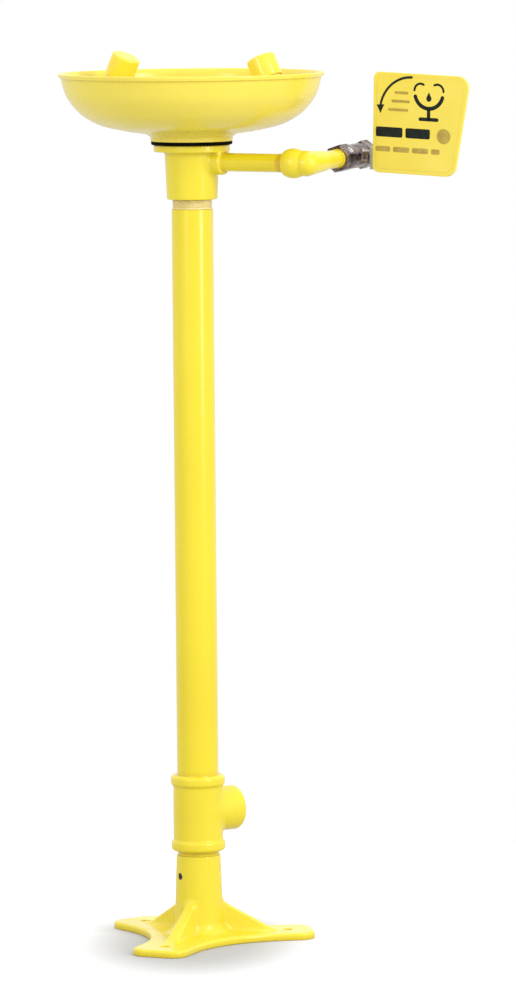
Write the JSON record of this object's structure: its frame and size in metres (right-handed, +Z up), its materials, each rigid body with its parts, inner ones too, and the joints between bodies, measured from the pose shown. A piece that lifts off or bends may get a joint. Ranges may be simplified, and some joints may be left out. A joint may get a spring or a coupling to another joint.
{
  "type": "pedestal eyewash station",
  "caption": "Free-standing eyewash: yellow round bowl with capped spray heads on a pipe pedestal with a footed flange, side waste tee and a push-flag ball valve.",
  "frame": {"origin": "on the floor, on the pedestal axis, at the centre of the anchor hole circle", "axes": "+Z up; +X along the supply nipple and the line of the two spray heads, towards the valve; the user stands on the -Y side, in front of the flag"},
  "size_m": [0.4694, 0.31, 1.0431],
  "materials": {
    "coated_iron": "yellow powder coat over cast iron",
    "coated_pipe": "yellow powder coat over steel pipe",
    "bowl_plastic": "glossy yellow moulded plastic",
    "cap_plastic": "glossy yellow moulded plastic",
    "face_plastic": "plain moulded plastic",
    "gasket_rubber": "black sheet rubber",
    "strainer_steel": "punched stainless sheet",
    "black_steel": "black-oxide steel socket screws",
    "screw_steel": "plain stainless fasteners",
    "valve_metal": "dull nickel plate over brass",
    "ball_chrome": "polished chrome",
    "seal_plastic": "white low-friction plastic",
    "strap_steel": "brushed stainless strap",
    "flag_plastic": "satin yellow plastic plate",
    "label_film": "yellow printed film with a black pictogram"
  },
  "bodies": {
    "root": {"floor_flange": "coated_iron", "waste_tee": "coated_iron", "bowl_support": "coated_iron", "supply_elbow": "coated_iron", "base_stub": "coated_pipe", "pedestal_pipe": "coated_pipe", "supply_nipple": "coated_pipe", "valve_nipple": "coated_pipe", "riser_tube": "coated_pipe", "spray_yoke": "coated_pipe", "bowl": "bowl_plastic", "spray_head_left": "cap_plastic", "spray_head_right": "cap_plastic", "spray_face_left": "face_plastic", "spray_face_right": "face_plastic", "flow_control": "face_plastic", "bowl_gasket": "gasket_rubber", "drain_strainer": "strainer_steel", "set_screws": "black_steel", "bowl_screws": "screw_steel", "valve_body": "valve_metal", "valve_end_cap": "valve_metal", "packing_nut": "valve_metal", "ball_seats": "seal_plastic", "stem_packing": "seal_plastic"},
    "flag_handle": {"valve_ball": "ball_chrome", "valve_stem": "ball_chrome", "flag_bracket": "strap_steel", "stem_washer": "screw_steel", "stem_nut": "screw_steel", "flag": "flag_plastic", "flag_label": "label_film", "flag_screws": "screw_steel"},
    "cap_left": {"dust_cap_left": "cap_plastic"},
    "cap_right": {"dust_cap_right": "cap_plastic"}
  },
  "joints": [
    {"name": "flag_turn", "type": "hinge", "parent": "root", "child": "flag_handle", "pos_m": [0.154, 0.11193, 0.91881], "axis": [-0.999, -0.0015, 0.0436], "range_deg": [0, 90]},
    {"name": "cap_left_lift", "type": "slide", "parent": "root", "child": "cap_left", "axis": [0.4226, 0, 0.9063], "range_m": [0, 0.04]},
    {"name": "cap_right_lift", "type": "slide", "parent": "root", "child": "cap_right", "axis": [-0.4226, 0, 0.9063], "range_m": [0, 0.04]}
  ]
}
